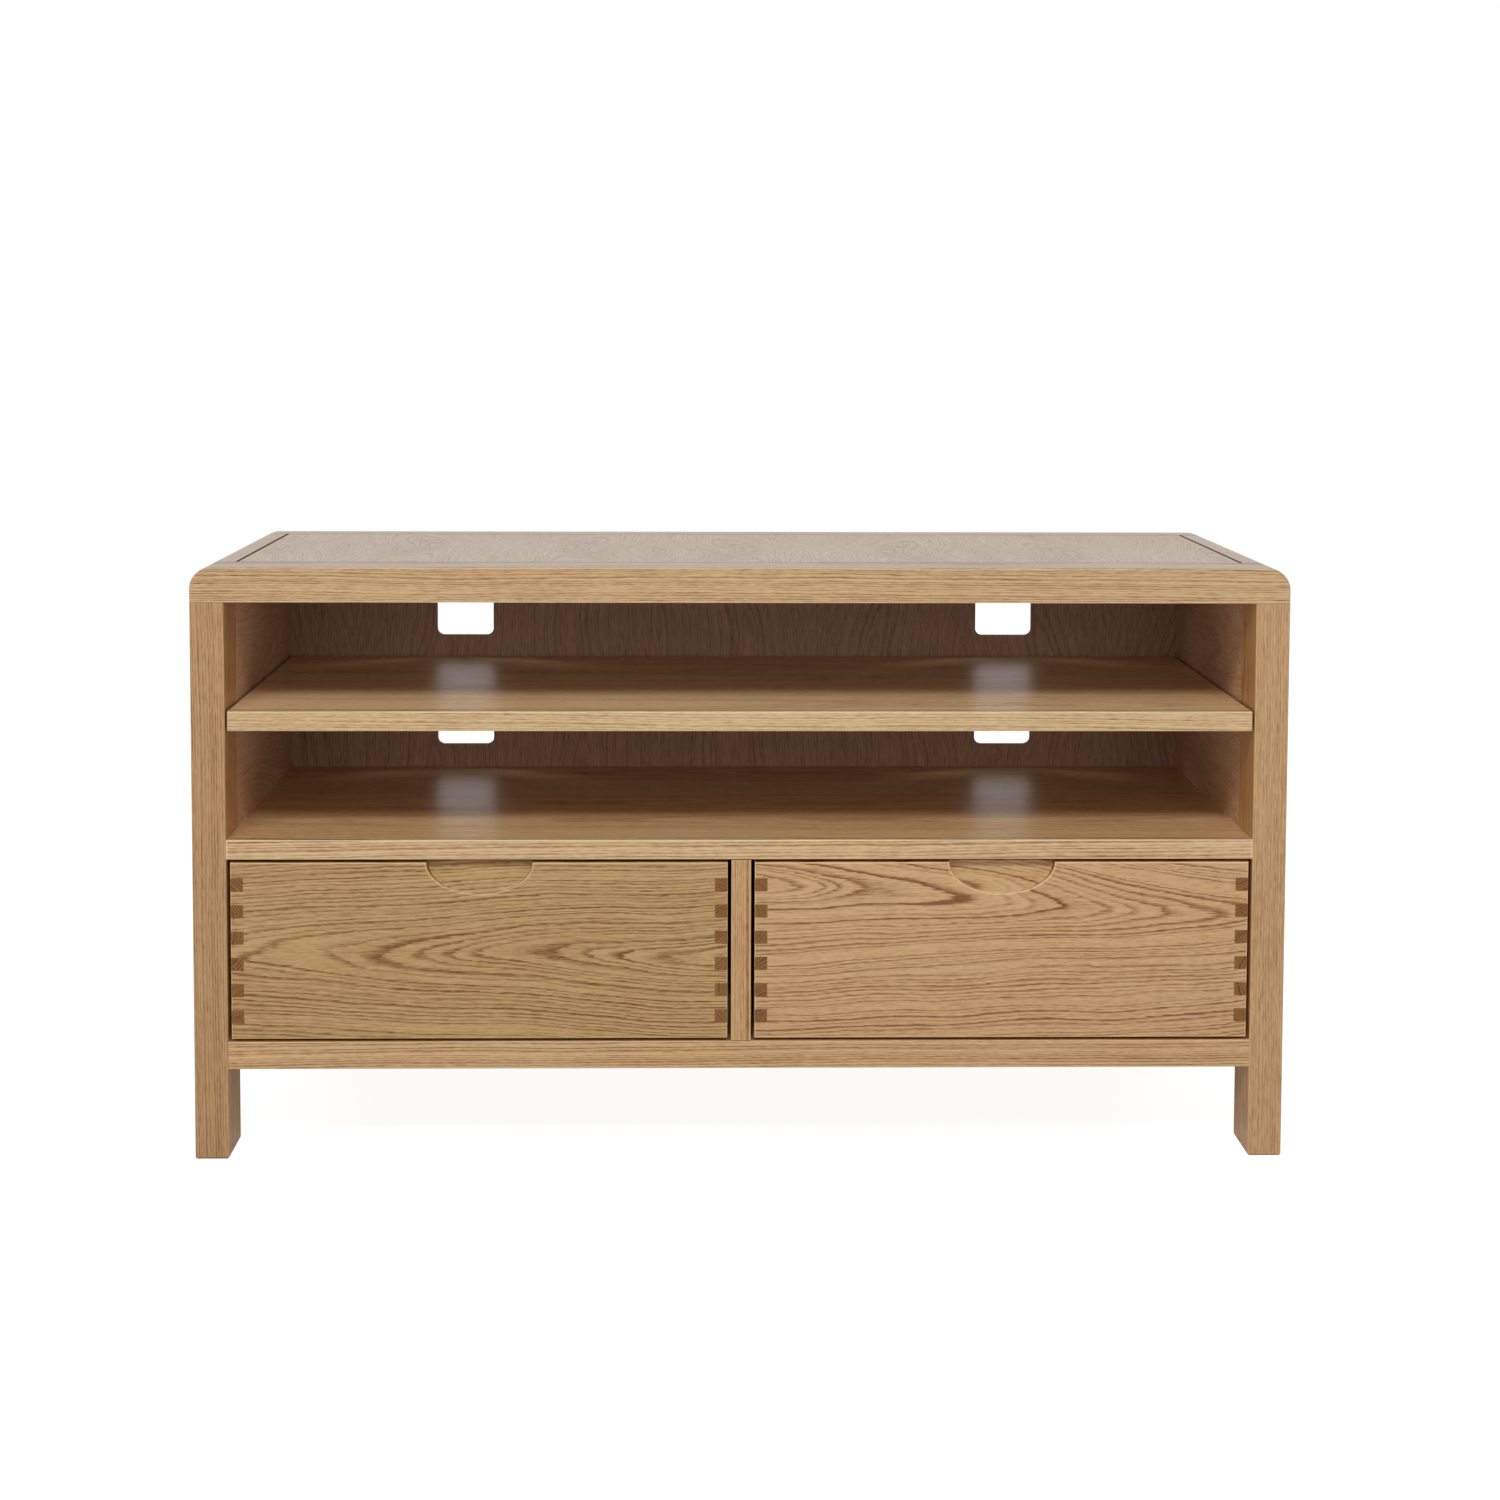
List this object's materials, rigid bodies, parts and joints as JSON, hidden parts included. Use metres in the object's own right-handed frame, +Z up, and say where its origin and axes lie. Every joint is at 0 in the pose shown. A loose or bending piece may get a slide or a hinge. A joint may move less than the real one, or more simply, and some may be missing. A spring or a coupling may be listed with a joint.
{
  "type": "media cabinet",
  "caption": "Low oak media cabinet: framed top with rounded ends, open shelved bay with cable cut-outs, and inset comb-jointed drawers with scooped finger pulls.",
  "frame": {"origin": "on the floor, below the middle of the cabinet's box", "axes": "+X to the right seen from the front, +Y to the back, +Z up; the drawers open towards -Y"},
  "size_m": [1.1, 0.45, 0.6],
  "materials": {
    "solid_oak": "satin lacquer",
    "oak_veneer": "satin lacquer",
    "drawer_oak": "satin lacquer",
    "drawer_bottom": "satin lacquer",
    "beech": "waxed",
    "steel": "zinc plated"
  },
  "bodies": {
    "carcass": {"adjustable_shelf": "oak_veneer", "adjustable_shelf_lipping": "solid_oak", "back_panel": "oak_veneer", "base_panel": "oak_veneer", "bottom_rail_back": "solid_oak", "bottom_rail_front": "solid_oak", "divider_lipping": "solid_oak", "drawer_divider": "oak_veneer", "drawer_guide_left_inner": "beech", "drawer_guide_left_outer": "beech", "drawer_guide_right_inner": "beech", "drawer_guide_right_outer": "beech", "drawer_runner_left_inner": "beech", "drawer_runner_left_outer": "beech", "drawer_runner_right_inner": "beech", "drawer_runner_right_outer": "beech", "drawer_stops": "beech", "fixed_shelf": "oak_veneer", "fixed_shelf_lipping": "solid_oak", "leg_back_left": "solid_oak", "leg_back_right": "solid_oak", "leg_front_left": "solid_oak", "leg_front_right": "solid_oak", "shelf_pins": "steel", "side_panel_left": "oak_veneer", "side_panel_right": "oak_veneer", "top_end_rail_left": "solid_oak", "top_end_rail_right": "solid_oak", "top_panel": "oak_veneer", "top_rail_back": "solid_oak", "top_rail_front": "solid_oak"},
    "drawer_left": {"drawer_back_left": "drawer_oak", "drawer_bottom_left": "drawer_bottom", "drawer_front_left": "drawer_oak", "drawer_side_left_inner": "drawer_oak", "drawer_side_left_outer": "drawer_oak"},
    "drawer_right": {"drawer_back_right": "drawer_oak", "drawer_bottom_right": "drawer_bottom", "drawer_front_right": "drawer_oak", "drawer_side_right_inner": "drawer_oak", "drawer_side_right_outer": "drawer_oak"}
  },
  "joints": [
    {"name": "drawer_left_slide", "type": "slide", "parent": "carcass", "child": "drawer_left", "axis": [0, -1, 0], "range_m": [0, 0.28]},
    {"name": "drawer_right_slide", "type": "slide", "parent": "carcass", "child": "drawer_right", "axis": [0, -1, 0], "range_m": [0, 0.28]}
  ]
}
